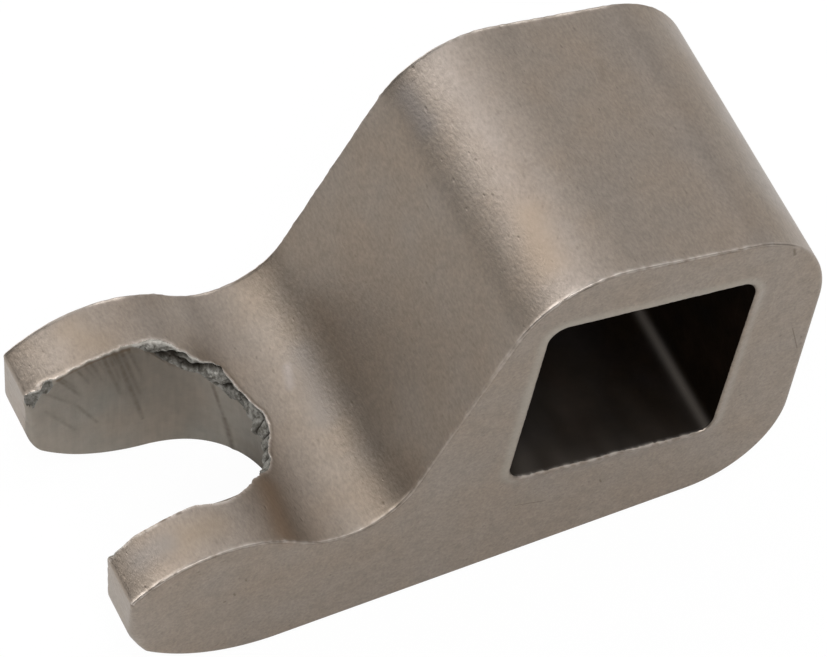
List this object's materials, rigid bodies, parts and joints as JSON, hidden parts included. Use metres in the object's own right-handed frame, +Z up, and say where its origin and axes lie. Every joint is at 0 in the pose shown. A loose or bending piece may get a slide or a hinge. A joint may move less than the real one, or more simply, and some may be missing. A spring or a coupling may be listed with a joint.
{
  "type": "clutch release finger",
  "caption": "Steel clutch release finger: a hub with a tilted square bore, an arm that dips into a hollow, and a forked nose with a crowned top.",
  "frame": {"origin": "under the middle of the finger, on the surface that its flat underside rests on", "axes": "+X along the flat underside from the fork towards the hub, +Y along the square bore from the lipped side to the plain side, +Z up"},
  "size_m": [0.0416, 0.0184, 0.0232],
  "materials": {
    "blasted_steel": "fine satin blasted steel with a warm grey-brown bloom"
  },
  "bodies": {
    "root": {"release_finger": "blasted_steel"}
  },
  "joints": []
}
